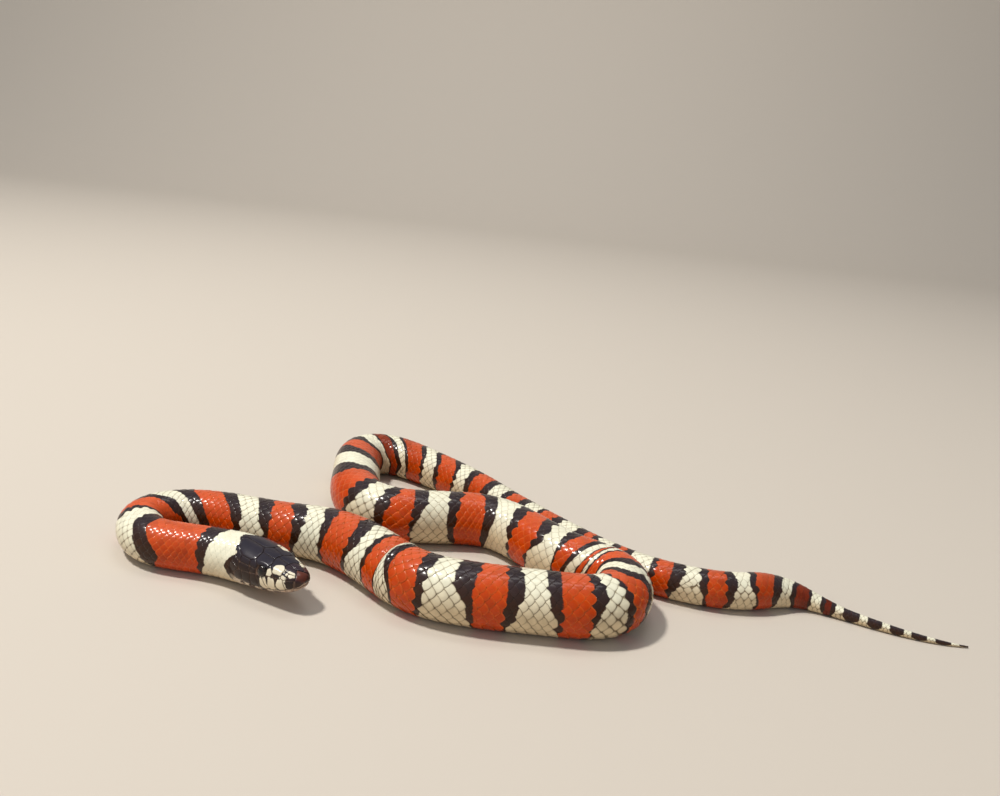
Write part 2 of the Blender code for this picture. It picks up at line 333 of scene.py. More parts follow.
ORBIT_RIM = 2.1             # the rim of the eye's hollow
ORBIT_DEPTH = 0.22
SOCKET_DEPTH = 1.1          # how far the skin passes behind the eye
NOSTRIL = (2.35, 58.0)
NOSTRIL_RADIUS = 0.27
NOSTRIL_DEPTH = 0.45
FORM_REACH = 4.0            # nothing is sculpted further than this from the head or the fold


def distance_from(spot, s, theta):
    """Distance over the surface of the head from a spot, alike on both sides."""
    across = np.radians(np.abs(theta) - spot[1]) * along(WIDE, spot[0])
    return np.hypot(s - spot[0], across)


def wrapped(theta):
    """Degrees from the back, from -180 to 180."""
    return (np.asarray(theta, float) + 180.0) % 360.0 - 180.0


def from_mouth(s, theta):
    """How far below the mouth line a place on the head lies, in millimetres."""
    return np.radians(np.abs(theta) - read(MOUTH_LINE, s)) * along(WIDE, s)


def sculpting(s, theta):
    """How far the head's surface stands out of its plain form."""
    theta = wrapped(theta)
    total = np.zeros(np.broadcast(s, theta).shape)
    for where, angle, reach, spread, height in SWELLINGS:
        total += height * bell(s, where, reach) * bell(np.abs(theta), angle, spread)
    below = from_mouth(s, theta)
    in_mouth = 1 - smooth_step(s, MOUTH_CORNER - 1.5, MOUTH_CORNER + 0.5)
    total -= MOUTH_DEPTH * bell(below, 0.0, MOUTH_WIDTH) * in_mouth
    total -= JAW_INSET * smooth_step(below, 0.0, 0.25) * in_mouth
    eye = distance_from(EYE_MIDDLE, s, theta)
    total -= ORBIT_DEPTH * (1 - smooth_step(eye, EYE_OPENING, ORBIT_RIM))
    total -= SOCKET_DEPTH * (1 - smooth_step(eye, EYE_OPENING - 0.35, EYE_OPENING + 0.05))
    nostril = distance_from(NOSTRIL, s, theta)
    total -= NOSTRIL_DEPTH * (1 - smooth_step(nostril, 0.0, NOSTRIL_RADIUS))
    return total


def folding(s, theta):
    """How far the pinched fold stands out of the body."""
    form = sum(height * bell(s - FOLD, where, reach) for where, reach, height in FOLD_FORM)
    return form * (1 - smooth_step(np.abs(wrapped(theta)), *FOLD_ENDS))


def leaned(out, up, lean):
    """Turn a place beside and above the middle line by the lean of the head."""
    return out * np.cos(lean) + up * np.sin(lean), up * np.cos(lean) - out * np.sin(lean)


def profile(s, theta):
    """Place beside and above the middle line: the solids' surface, sculpted."""
    angle = np.radians(theta)
    out = np.sin(angle)
    up = np.cos(angle)
    square = along(SQUARE, s)
    grow = (np.abs(out) ** square + np.abs(up) ** square) ** (-1 / square)
    height = np.where(up > 0, along(CROWN, s), along(CHIN, s))
    out = along(WIDE, s) * out * grow
    up = np.maximum(height * up * grow, -BELLY_DROP * along(CHIN, s))
    for shaped, form in ((s < HEAD_LENGTH + FORM_REACH, sculpting), (np.abs(s - FOLD) < FORM_REACH, folding)):
        if np.any(shaped):
            reach = np.maximum(np.hypot(out[shaped], up[shaped]), 0.3)
            swell = 1 + form(s[shaped], theta[shaped]) / reach
            out[shaped] *= swell
            up[shaped] *= swell
    lean = np.radians(HEAD_LEAN) * np.clip((LEAN_ENDS - s) / HEAD_LENGTH, 0.0, 1.0)
    return leaned(out, up, lean)


def body_frame(s):
    """The middle of the body, its direction towards the tail and that to the snake's right."""
    heading = along(TURN, s)
    level = np.zeros_like(heading)
    centre = np.stack([along(TRACK[:, 0], s), along(TRACK[:, 1], s), middle_height(s)], axis=-1)
    onward = np.stack([np.cos(heading), np.sin(heading), level], axis=-1)
    right = np.stack([-np.sin(heading), np.cos(heading), level], axis=-1)
    return centre, onward, right


SLOPE_STEP = 0.06           # the surface's slope is measured over this distance
SLOPE_TURN = 1.5            # and this many degrees


def surface(s, theta, lift=0.0):
    """Points on the surface, or off it by lift."""
    s, theta, lift = np.broadcast_arrays(np.asarray(s, float), np.asarray(theta, float), lift)
    across, up = profile(s, theta)
    before = np.maximum(s - SLOPE_STEP, 0.0)
    beyond = np.minimum(s + SLOPE_STEP, LENGTH)
    slope_across, slope_up = np.subtract(profile(beyond, theta), profile(before, theta)) / (beyond - before)
    round_across, round_up = np.subtract(profile(s, theta + SLOPE_TURN), profile(s, theta - SLOPE_TURN))
    normal = np.stack([slope_across * round_up - slope_up * round_across, -round_up, round_across], axis=-1)
    normal /= np.maximum(np.linalg.norm(normal, axis=-1, keepdims=True), 1e-9)
    centre, onward, right = body_frame(s)
    points = centre + right * across[..., None]
    points[..., 2] += up
    points += lift[..., None] * (onward * normal[..., :1] + right * normal[..., 1:2])
    points[..., 2] += lift * normal[..., 2]
    return points


def stretch_at(s, theta):
    """How much longer than the middle line the surface is: under 1 inside a bend."""
    return 1 - along(CURVING, s) * along(GIRTHS, s) * np.sin(np.radians(theta))


def coat_depth(s):
    """How far the skin lies under the solids' surface: less on the head and the thin tail."""
    behind_head = smooth_step(s, 17.0, 26.0)
    return HEAD_COAT + (BODY_COAT - HEAD_COAT) * behind_head * np.clip(along(GIRTHS, s) / 5.0, 0.25, 1)


def ring_edges(theta, crown, flank=None, low=None, beyond=None):
    """Where the four edges of a ring lie, theta being positive on its facing side.

    A parabola through crown, flank and low gives the places halfway between them.
    """
    crown = np.array(crown)
    flank = crown if flank is None else np.array(flank)
    low = flank if low is None else np.array(low)
    beyond = 1.4 * crown - 0.4 * flank if beyond is None else np.array(beyond)
    upper = 0.375 * crown + 0.75 * flank - 0.125 * low
    lower = 0.375 * low + 0.75 * flank - 0.125 * crown
    belly = 0.5 * (crown + low)
    angles = [-180.0, -95.0, -45.0, 0.0, 22.5, 45.0, 67.5, 90.0, 180.0]
    values = np.array([belly, 0.5 * (crown + beyond), beyond, crown, upper, flank, lower, low, belly])
    spread = np.array([-7.0, 0.0, 7.0])[:, None]
    return [np.interp(theta + spread, angles, column).mean(axis=0) for column in values.T]


def ring_depths(s, theta):
    """How far places lie inside the white and inside the red, in millimetres."""
    s, theta = np.broadcast_arrays(np.asarray(s, float), wrapped(theta))
    shape = s.shape
    s = s.ravel()
    theta = theta.ravel()
    white = np.full(s.shape, OUTSIDE)
    black = np.full(s.shape, OUTSIDE)
    starts, signs = zip(*FACING_SIDE)
    for ring in RINGS:
        side = signs[np.searchsorted(starts, ring[0][1], side="right") - 1]
        near = np.flatnonzero((s > np.min(ring) - 4.0) & (s < np.max(ring) + 4.0))
        angle = side * theta[near]
        place = s[near]
        share = np.where(angle > 0, read(FLARE_FACING, np.abs(angle)), read(FLARE_BEYOND, np.abs(angle)))
        black_from, white_from, white_to, black_to = ring_edges(angle, *ring)
        black_depth = np.minimum(place - black_from, black_to - place)
        white_depth = np.minimum(place - white_from + share * (white_from - black_from),
                                 white_to + share * (black_to - white_to) - place)
        black[near] = np.maximum(black[near], black_depth)
        white[near] = np.maximum(white[near], white_depth)
    red = np.where(s > RED_BEGINS, -black, OUTSIDE)
    return white.reshape(shape), red.reshape(shape)


# The head's markings: the black cap ends at these distances for degrees down the side,
# and the pale patches lie on it as distance, degrees and their reach in each.
CAP_END = [(0, 19.9), (10, 19.5), (18, 18.8), (26, 18.3), (34, 18.2), (40, 17.8), (46, 17.1), (52, 17.5),
           (60, 19.0), (72, 20.0), (82, 20.3), (96, 19.9), (106, 19.0), (118, 17.6), (126, 16.8), (180, 16.0)]
COLLAR_MIDDLE = 21.5        # ahead of this the cap bounds the white, behind it the first ring
COLLAR_END = 24.0
PALE_PATCHES = [
    (4.9, 37.0, 1.30, 18.0), (2.1, 32.0, 0.95, 13.0), (6.65, 57.0, 0.70, 12.0), (3.1, 61.0, 0.80, 13.0),
    (7.65, 99.0, 0.92, 27.0), (5.50, 99.0, 0.95, 28.0), (3.15, 96.0, 1.12, 26.0),
    (10.5, -38.0, 1.8, 8.0), (3.2, -37.0, 0.9, 9.0), (5.3, -47.0, 1.1, 12.0), (6.9, -62.0, 0.6, 10.0),
    (7.4, -99.0, 0.95, 26.0), (5.2, -98.0, 0.85, 26.0), (3.1, -96.0, 0.85, 22.0),
]
PATCHES_END = 14.0          # no pale patch lies behind this, and none is on the skin under the plates
PATCH_SQUARE = 2.6          # 2 is an oval patch, more is squarer
LIP_SLANT = 0.02            # millimetres forward for each degree down a patch of the lip
JAW_SPOTS = [(5.0, 134.0, 0.7, 8.0), (8.4, 131.0, 0.9, 7.0), (11.6, 126.0, 1.0, 8.0), (14.2, 119.0, 0.8, 6.0)]


def patch_depth(s, theta, patches):
    """How far places lie inside the nearest of the patches, in millimetres."""
    depth = np.full(np.broadcast(s, theta).shape, OUTSIDE)
    for where, angle, reach, spread in patches:
        slant = LIP_SLANT if 90 < abs(angle) < 110 else 0.0
        x = (s - where + slant * (np.abs(theta) - abs(angle))) / reach
        y = (theta - angle) / spread
        from_middle = (np.abs(x) ** PATCH_SQUARE + np.abs(y) ** PATCH_SQUARE) ** (1 / PATCH_SQUARE)
        wobble = 0.09 * np.sin(5 * np.arctan2(x, y) + 3 * where)
        depth = np.maximum(depth, (1 - from_middle - wobble) * reach)
    return depth


def seam_share(s, theta):
    """How far the seams between plates show pale: on the sides of the head, above the mouth."""
    on_side = smooth_step(np.abs(wrapped(theta)), 44.0, 60.0) * (1 - smooth_step(s, 15.0, 18.0))
    return on_side * (from_mouth(s, wrapped(theta)) < 0.0)


def head_tint(s, theta, brown=0.0):
    """Colour of the head under its pale patches, with a share of red-brown."""
    s, theta = np.broadcast_arrays(np.asarray(s, float), wrapped(theta))
    # The head's black carries a painted bluish sheen on the top, fading down the sides.
    colours = mix(HEAD_BLACK_TOP_SHEEN, HEAD_BLACK_SIDE, smooth_step(np.abs(theta), 30.0, 75.0))
    colours = mix(colours, SNOUT_BROWN, brown)
    below = from_mouth(s, theta)
    jaw = smooth_step(below, 0.0, 0.22) * (1 - smooth_step(s, 17.0, 18.5))
    jaw_colours = mix(JAW_PINK, JAW_PALE, smooth_step(s, 1.5, 6.0))
    spots = smooth_step(patch_depth(s, np.abs(theta), JAW_SPOTS), -0.08, 0.10)
    colours = mix(colours, mix(jaw_colours, JAW_SPOT, spots), jaw)
    # Painted shade darkens the slit of the mouth.
    mouth = bell(below, 0.0, 0.15) * (1 - smooth_step(s, MOUTH_CORNER - 1.0, MOUTH_CORNER))
    colours = mix(colours, MOUTH_SHADE, mouth)
    # Painted shade makes the nostril near black.
    nostril = 1 - smooth_step(distance_from(NOSTRIL, s, theta), 0.1, NOSTRIL_RADIUS * 1.3)
    return mix(colours, NOSTRIL_SHADE, nostril)


def coat_tint(s, theta):
    """Colour of the coat where it is neither white nor red, and how dark its red is."""
    s, theta = np.broadcast_arrays(np.asarray(s, float), wrapped(theta))
    # Black with a painted bluish sheen on the top turns to black with a painted warm reflection on the sides.
    colours = mix(BLACK_TOP_SHEEN, BLACK_SIDE_WARM_REFLECTION, smooth_step(np.abs(theta), 20.0, 80.0))
    on_head = 1 - smooth_step(s, 18.0, 19.5)
    colours = mix(colours, head_tint(s, theta), on_head)
    return np.concatenate([colours, read(DUSK, s)[..., None]], axis=-1)


def coat_depths(s, theta):
    """How far places lie inside the white and the red of the whole coat."""
    white, red = ring_depths(s, theta)
    collar = np.minimum(s - read(CAP_END, np.abs(theta)), COLLAR_END - s)
    white = np.where(s < COLLAR_MIDDLE, collar, white)
    on_head = s < PATCHES_END
    patches = patch_depth(s[on_head], theta[on_head], PALE_PATCHES)
    above_mouth = -from_mouth(s[on_head], theta[on_head]) - 0.05
    white[on_head] = np.minimum(patches, above_mouth)
    return white, red


def make_marks(s, theta, edge):
    """Marks the materials read: inside the white, inside the red, rim of a scale, share down.

    The front of the body stays pale further down its sides, which is painted light: there the turn to the
    side tones, with their painted shade, begins lower.
    """
    s, theta, edge = np.broadcast_arrays(np.asarray(s, float), wrapped(theta), edge)
    # On the front of the body the side tones, with their painted shade, begin lower: painted light.
    down = np.abs(theta) / 180.0 * (0.72 + 0.28 * smooth_step(s, 118.0, 150.0))
    return np.stack([*coat_depths(s, theta), edge, down], axis=-1)


def add_object(name, data):
    """Put a new object into the scene."""
    piece = bpy.data.objects.new(name, data)
    bpy.context.scene.collection.objects.link(piece)
    return piece


def make_mesh(name, material, points, triangles, places, tints, marks=None):
    """Make one piece of joined triangles, with its markings and its bake map."""
    mesh = bpy.data.meshes.new(name)
    points = points.reshape(-1, 3) * MM
    places = places.reshape(-1, 2)
    triangles = np.ascontiguousarray(triangles, np.int32)
    corners = triangles.ravel()
    mesh.vertices.add(len(points))
    mesh.vertices.foreach_set("co", np.ascontiguousarray(points, np.float32).ravel())
    mesh.loops.add(triangles.size)
    mesh.loops.foreach_set("vertex_index", corners)
    mesh.polygons.add(len(triangles))
    mesh.polygons.foreach_set("loop_start", np.arange(0, triangles.size, 3, dtype=np.int32))
    mesh.update(calc_edges=True)
    mesh.shade_smooth()
    for label, values in (("tint", tints), ("marks", marks)):
        if values is not None:
            attribute = mesh.color_attributes.new(label, "FLOAT_COLOR", "POINT")
            attribute.data.foreach_set("color", np.ascontiguousarray(values, np.float32).ravel())
    layer = mesh.uv_layers.new(name="OFBake")
    by_corner = places if len(places) == triangles.size else places[corners]
    layer.data.foreach_set("uv", np.ascontiguousarray(by_corner, np.float32).ravel())
    mesh.materials.append(material)
    piece = add_object(name, mesh)
    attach(piece, "root")
    return piece


class Nodes:
    """Adds and joins the nodes of one material."""

    def __init__(self, name):
        self.material = bpy.data.materials.new(name)
        self.material.use_nodes = True
        self.tree = self.material.node_tree
        self.shader = self.tree.nodes["Principled BSDF"]

    def give(self, node, inputs):
        """Join an output to each of a node's inputs, or set the input to a plain value."""
        for name, value in inputs.items():
            socket = node.inputs[name]
            if isinstance(value, bpy.types.NodeSocket):
                self.tree.links.new(value, socket)
            else:
                socket.default_value = (*value, 1.0) if isinstance(value, tuple) else value

    def add(self, kind, inputs, **settings):
        """Add a node, give it its inputs and return its outputs."""
        node = self.tree.nodes.new(kind)
        for name, value in settings.items():
            setattr(node, name, value)
        self.give(node, inputs)
        return node.outputs

    def attribute(self, name):
        return self.add("ShaderNodeAttribute", {}, attribute_name=name)

    def noise(self, scale, detail):
        place = self.add("ShaderNodeTexCoord", {})["Object"]
        return self.add("ShaderNodeTexNoise", {"Vector": place, "Scale": scale, "Detail": detail})["Fac"]

    def ranged(self, value, low, high, start=0.0, end=1.0):
        """Bring values from start and end to low and high."""
        inputs = {"Value": value, "From Min": start, "From Max": end, "To Min": low, "To Max": high}
        return self.add("ShaderNodeMapRange", inputs)["Result"]

    def combine(self, operation, first, second):
        return self.add("ShaderNodeMath", {0: first, 1: second}, operation=operation)[0]

    def blend(self, first, second, share):
        """Mix two colours."""
        return self.add("ShaderNodeMix", {0: share, 6: first, 7: second}, data_type="RGBA")[2]

    def varied(self, colour, value, saturation=1.0):
        """Change the brightness and the strength of a colour."""
        inputs = {"Color": colour, "Value": value, "Saturation": saturation}
        return self.add("ShaderNodeHueSaturation", inputs)["Color"]


# The share of the way down the side over which a colour turns from its top tone to its side tone; the turn is
# partly painted sheen on the top and painted shade on the sides.
WHITE_TURNS = (0.24, 0.52)
WHITE_EDGE_TURNS = (0.12, 0.34)
RED_TURNS = (0.05, 0.30)
GRAIN_DEPTH = 0.00003


def coat_material(name, roughness, gloss, grain, bump, pale):
    """Glossy scaled skin, coloured by its markings, with fine variation of its own."""
    made = Nodes(name)
    tint = made.attribute("tint")
    marks = made.attribute("marks")
    white_depth, red_depth, edge = made.add("ShaderNodeSeparateColor", {"Color": marks["Color"]})
    down = marks["Alpha"]
    blotches = made.noise(420.0, 3.0)
    specks = made.noise(grain, 4.0)
    ragged = made.ranged(made.noise(2600.0, 2.0), -0.16, 0.16)
    white_share = made.ranged(made.combine("ADD", white_depth, ragged), 0.0, 1.0, -0.05, 0.05)
    red_share = made.ranged(made.combine("ADD", red_depth, ragged), 0.0, 1.0, -0.06, 0.06)

    # The white scales' rims are partly their own grey-brown skin and partly painted shade in the gaps, darker
    # down the sides.
    white_rim_and_shade = made.blend(WHITE_RIM_AND_SHADE_TOP, WHITE_RIM_AND_SHADE_SIDE, made.ranged(down, 0.0, 1.0, *WHITE_EDGE_TURNS))
    # Down the sides the white turns to its tan, darkened by painted shade.
    white = made.blend(pale, WHITE_SIDE_TAN_AND_SHADE, made.ranged(down, 0.0, 1.0, *WHITE_TURNS))
    white = made.blend(white, white_rim_and_shade, edge)
    # The red turns from its top tone with a painted sheen to its darker side tone with painted shade.
    red = made.blend(RED_TOP_SHEEN, RED_SIDE_SHADED, made.ranged(down, 0.0, 1.0, *RED_TURNS))
    # The red scales' rims get a painted highlight of lighter orange.
    red = made.blend(made.blend(red, RED_RIM_HIGHLIGHT, edge), DARK_RED, tint["Alpha"])
    black = made.blend(tint["Color"], BLACK_EDGE, made.combine("MULTIPLY", edge, 0.7))
    colour = made.blend(made.blend(black, red, red_share), white, white_share)

    rough = made.ranged(specks, roughness - 0.07, roughness + 0.09)
    relief = made.add("ShaderNodeBump", {"Strength": bump, "Distance": GRAIN_DEPTH, "Height": specks})
    made.give(made.shader, {
        "Base Color": made.varied(colour, made.ranged(blotches, 0.76, 1.20), made.ranged(specks, 0.98, 1.03)),
        "Roughness": made.combine("ADD", rough, made.combine("MULTIPLY", edge, 0.12)),
        "Coat Weight": gloss,
        "Coat Roughness": 0.55 * roughness,
        "Specular IOR Level": 0.10,
        "Normal": relief["Normal"],
    })
    return made.material


def closed_tube(rows, around):
    """Triangles of a tube of rings of points, closed at each end round one more point."""
    grid = np.arange(rows * around).reshape(rows, around)
    onward = np.roll(grid, -1, axis=1)
    first = np.stack([grid[:-1], grid[1:], onward[1:]], axis=-1)
    second = np.stack([grid[:-1], onward[1:], onward[:-1]], axis=-1)
    tube = np.stack([first, second], axis=2).reshape(-1, 3)
    front = np.stack([np.full(around, grid.size), grid[0], onward[0]], axis=-1)
    rear = np.stack([np.full(around, grid.size + 1), onward[-1], grid[-1]], axis=-1)
    return np.concatenate([tube, front, rear])


SKIN_AROUND = 96
SKIN_ANGLES = np.arange(SKIN_AROUND) * 360.0 / SKIN_AROUND
SKIN_STRIPS = 4             # the skin's unwrap lies in this many strips


def skin_stations():
    """Distances for the rings of the skin: close on the snout, the head and the fold."""
    snout = SNOUT_TIP * (np.arange(1, 13) / 12) ** 2
    head = np.arange(SNOUT_TIP, 24.0, 0.15)[1:]
    before_fold = np.arange(24.0, FOLD - 3.0, 0.8)
    fold = np.arange(FOLD - 3.0, FOLD + 4.0, 0.2)
    body = np.arange(FOLD + 4.0, LENGTH - 0.5, 0.8)
    return np.concatenate([snout, head, before_fold, fold, body, [LENGTH - 0.25]])


def skin_places(rows):
    """The skin's bake map: its tube in strips side by side, and its two ends small below."""
    per_strip = math.ceil((rows - 1) / SKIN_STRIPS)
    row, column = np.divmod(np.arange((rows - 1) * SKIN_AROUND), SKIN_AROUND)
    strip = row // per_strip
    left = (row - strip * per_strip) / per_strip
    right = left + 1 / per_strip
    low = (strip + 0.02 + 0.96 * column / SKIN_AROUND) / SKIN_STRIPS
    high = (strip + 0.02 + 0.96 * (column + 1) / SKIN_AROUND) / SKIN_STRIPS
    near, far, far_on, near_on = [np.stack(corner, axis=-1)
                                  for corner in ((left, low), (right, low), (right, high), (left, high))]
    parts = [np.stack([near, far, far_on, near, far_on, near_on], axis=1).reshape(-1, 2)]
    turn = np.radians(SKIN_ANGLES)
    for middle in ((0.004, 0.002), (0.996, 0.002)):
        rim = middle + np.stack([0.003 * np.cos(turn), 0.0015 * np.sin(turn)], axis=-1)
        end = np.stack([np.broadcast_to(middle, rim.shape), rim, np.roll(rim, -1, axis=0)], axis=1)
        parts.append(end.reshape(-1, 2))
    return np.clip(np.concatenate(parts), 0.0, 1.0)


def make_skin(material):
    """One closed skin from the snout to the tip of the tail."""
    stations = skin_stations()
    s, theta = np.meshgrid(stations, SKIN_ANGLES, indexing="ij")
    points = surface(s, theta, -coat_depth(s))
    tints = coat_tint(s, theta)
    tints[..., :3] = mix(tints[..., :3], SEAM_BROWN, seam_share(s, theta))
    # The skin, seen between the scales, takes the rim colours, with the painted shade of the white scales'
    # rims.
    marks = make_marks(s, theta, 0.9 * smooth_step(s, 22.0, 34.0) + 0.15)
    marks[..., 0] = np.where(s < PATCHES_END, OUTSIDE, marks[..., 0])
    points = np.concatenate([points.reshape(-1, 3), points[[0, -1]].mean(axis=1)])
    tints, marks = [np.concatenate([values.reshape(-1, 4), values[[0, -1], 0]]) for values in (tints, marks)]
    skin = make_mesh("skin", material, points, closed_tube(len(stations), SKIN_AROUND),
                     skin_places(len(stations)), tints, marks)
    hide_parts(*[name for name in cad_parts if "eye" not in name])


class PlateForm:
    """How the points and triangles of a closed plate are laid out.

    Rings of points run from its rim inwards, then come the middle of its top, the rim
    of its underside and the middle of that. Shares are those of the way to the rim.
    """

    def __init__(self, around, ring_shares, under_share):
        self.around = around
        self.rings = len(ring_shares)
        self.shares = np.concatenate([np.repeat(ring_shares, around), [0.0],
                                      np.full(around, under_share), [0.0]])
        top = self.rings * around
        under = top + 1
        index = np.arange(len(self.shares))
        self.on_top = index <= top
        self.ring = index // around
        k = np.arange(around)
        on = (k + 1) % around
        parts = []
        for outer in range(0, top - around, around):
            inner = outer + around
            parts += [(outer + k, outer + on, inner + on), (outer + k, inner + on, inner + k)]
        inmost = top - around
        parts += [(inmost + k, inmost + on, np.full(around, top)), (under + k, under + on, on),
                  (under + k, on, k), (under + on, under + k, np.full(around, under + around))]
        self.triangles = np.concatenate([np.stack(part, axis=-1) for part in parts])

    def spread(self, rim):
        """Places of all the points from the middle, given those round the rim."""
        middle = np.zeros((1, 2))
        return np.concatenate([np.tile(rim, (self.rings, 1)), middle, rim, middle]) * self.shares[:, None]

    def copies(self, number):
        """Triangles of many plates of this form, one after another."""
        return (self.triangles + len(self.shares) * np.arange(number)[:, None, None]).reshape(-1, 3)

    def rim_marks(self, begins, width):
        """1 on the rim of the plate, 0 inside it."""
        return np.clip((self.shares - begins) / width, 0.0, 1.0)


# The small scales.
SCALE_FORM = PlateForm(16, (1.0, 0.95, 0.84, 0.60, 0.30), 0.94)
SCALE_THICK = 0.13
SCALE_RISE = 0.19           # how far the rear of a scale stands over its front
SCALE_DOME = 0.08
SCALE_BEVEL = 0.05
SCALE_SINK = 0.02
SCALE_OVERLAP = 1.12        # length of a scale as a share of the spacing along the body
SCALE_WIDTH = 0.95          # and its width as a share of the spacing of the rows
LIFT_JITTER = 0.012         # how much scales differ in height, in millimetres,
LENGTH_JITTER = 0.03        # and as shares in length, width, brightness and darkness of the red
WIDTH_JITTER = 0.02
SHADE_JITTER = 0.10
DUSK_JITTER = 0.09
SCALE_LOCK = 0.5            # share of a scale's markings taken at its middle
# Where the rings are narrow or the body bends sharply, that share is less.
LOCK_SHARE = [(0, 1.0), (118, 1.0), (122, 0.3), (131, 0.3), (135, 1.0), (176, 1.0), (184, 0.15), (200, 0.15),
              (206, 1.0), (292, 1.0), (300, 0.4), (314, 0.4), (322, 1.0), (434, 1.0), (444, 0.4), (480, 0.3)]
SCALE_ROWS = 10             # rows either side of the one along the back
ROWS_END = [((6, 7), 338.0, 346.0), ((4, 5), 408.0, 414.0), ((8, 9), 434.0, 439.0), ((2, 3), 447.0, 453.0)]
HEAD_END = [(0, 18.3), (16, 18.4), (34, 17.6), (50, 18.1), (66, 18.3), (82, 18.4), (95, 17.2),
            (104, 16.6), (115, 16.2), (124, 14.6), (136, 12.6), (150, 10.9), (180, 10.8)]
PART_ENDS = (0.0, 80.0, 152.0, 232.0, 308.0, 372.0, 480.0)     # the scales are made in parts between these
MAP_HALF = 0.0015           # half the size of a scale's patch in the bake map
UNDER_MAP = 0.0036          # how far beside it the patch of its underside lies


def scale_pitches():
    """Spacing of the scales along the body: less on the neck and in the fold."""
    on_neck = NECK_PITCH + (1 - NECK_PITCH) * smooth_step(STATIONS, 35.0, 95.0)
    folded = 1 - FOLD_CROWDING * bell(STATIONS, FOLD + 0.5, 1.6)
    return (PITCH_FIXED + PITCH_SHARE * GIRTHS) * on_neck * folded


PITCHES = scale_pitches()
CROSS_ROWS = np.concatenate([[0.0], np.cumsum(np.diff(STATIONS) * 2 / (PITCHES[1:] + PITCHES[:-1]))])
CROSS_ROWS -= along(CROSS_ROWS, SCALES_START)


def thickness(s):
    """Share of their full thickness that scales have here."""
    return np.clip(along(GIRTHS, s) / FULL_GIRTH, 0.3, 1.0)


def bend_fit(stretch):
    """Share of its length that a scale keeps on the outside of a bend."""
    return np.minimum(LONGEST / np.maximum(stretch, 0.05), 1.0)


def rim_of_scale(count, front, rear):
    """Points round a scale, 1 long and 1 wide either way, its rear end rounder."""
    turn = np.arange(count) * 2 * math.pi / count
    x = np.cos(turn)
    y = np.sin(turn)
    power = np.where(x > 0, rear, front)
    grow = (np.abs(x) ** power + np.abs(y) ** power) ** (-1 / power)
    return np.stack([x * grow, y * grow], axis=-1)


def row_angles(s):
    """Degrees from the back of each row of scales, and the width of each row."""
    rows = np.arange(SCALE_ROWS + 2)
    widths = 0.93 + 0.014 * rows[:, None] + np.zeros_like(s)
    for pair, begins, ends in ROWS_END:
        for row in pair:
            widths[row] *= 1 - smooth_step(s, begins, ends)
    edges = np.cumsum(widths, axis=0) - widths[0] / 2
    middles = edges - widths / 2
    middles[0] = 0.0
    scale = DORSAL_SPAN / edges[SCALE_ROWS]
    return middles * scale, widths * scale


def place_scales():
    """Distance, degrees and half the width of every small scale."""
    found = []
    for row in range(-SCALE_ROWS, SCALE_ROWS + 1):
        order = np.arange(int(CROSS_ROWS[-1])) + 0.5 * (row % 2)
        s = np.interp(order, CROSS_ROWS, STATIONS)
        s = s[s < LENGTH - 1.2]
        middles, widths = row_angles(s)
        rank = abs(row)
        inner = middles[rank - 1] if rank else -middles[1]
        half_width = (middles[rank + 1] - inner) / 2
        present = widths[rank] > 0.35 * widths[0]
        found.append(np.stack([s, math.copysign(1, row) * middles[rank], half_width], axis=-1)[present])
    found = np.concatenate(found)
    return found[found[:, 0] > read(HEAD_END, np.abs(found[:, 1]))]


def make_scales(material):
    """All the small scales, joined into a few pieces along the body."""
    form = SCALE_FORM
    centre, angle, half_width = place_scales().T[..., None]
    stretch = stretch_at(centre, angle)
    inside_bend = np.minimum(CROWDED / np.maximum(stretch, 0.25), 1.8)
    fit = np.where(stretch < CROWDED, inside_bend, bend_fit(stretch))
    half_length = 0.5 * along(PITCHES, centre) * SCALE_OVERLAP * fit
    x, y = form.spread(rim_of_scale(form.around, 1.22, 1.38)).T
    jitter = RANDOM.normal(0.0, 1.0, (len(centre), 3))
    top = SCALE_DOME * (1 - form.shares ** 2)
    lift = SCALE_RISE * (x + 1) / 2 + np.where(form.on_top, top, -SCALE_THICK)
    lift = lift - np.where(form.ring == 0, SCALE_BEVEL, 0.0) - SCALE_SINK
    lift = lift * thickness(centre) + LIFT_JITTER * jitter[:, :1]
    s = np.clip(centre + half_length * x * (1 + LENGTH_JITTER * jitter[:, 1:2]), 0.5, LENGTH - 0.05)
    theta = angle + SCALE_WIDTH * half_width * y * (1 + WIDTH_JITTER * jitter[:, 2:3])
    points = surface(s, theta, lift - coat_depth(s))
    lock = SCALE_LOCK * read(LOCK_SHARE, centre)
    marks_at = s + lock * (centre - s)
    marks_round = theta + lock * (angle - theta)
    edge = form.rim_marks(0.80, 0.16) * (0.12 + 0.78 * smooth_step(centre, 22.0, 34.0))
    marks = make_marks(marks_at, marks_round, edge)
    tints = coat_tint(marks_at, marks_round)
    tints[..., :3] *= 1 + SHADE_JITTER * jitter[:, None, 2:3]
    tints[..., 3] += DUSK_JITTER * np.abs(jitter[:, :1])
    for number, (begins, ends) in enumerate(zip(PART_ENDS, PART_ENDS[1:]), 1):
        chosen = (centre[:, 0] >= begins) & (centre[:, 0] < ends)
        u = 0.02 + 0.96 * (centre[chosen] - begins) / (ends - begins) + np.where(form.on_top, 0.0, UNDER_MAP)
        v = 0.5 + angle[chosen] / 290.0
        places = np.stack([u + MAP_HALF * x, v + MAP_HALF * y], axis=-1)
        make_mesh(f"scales_{number}", material, points[chosen], form.copies(chosen.sum()),
                  places, tints[chosen], marks[chosen])


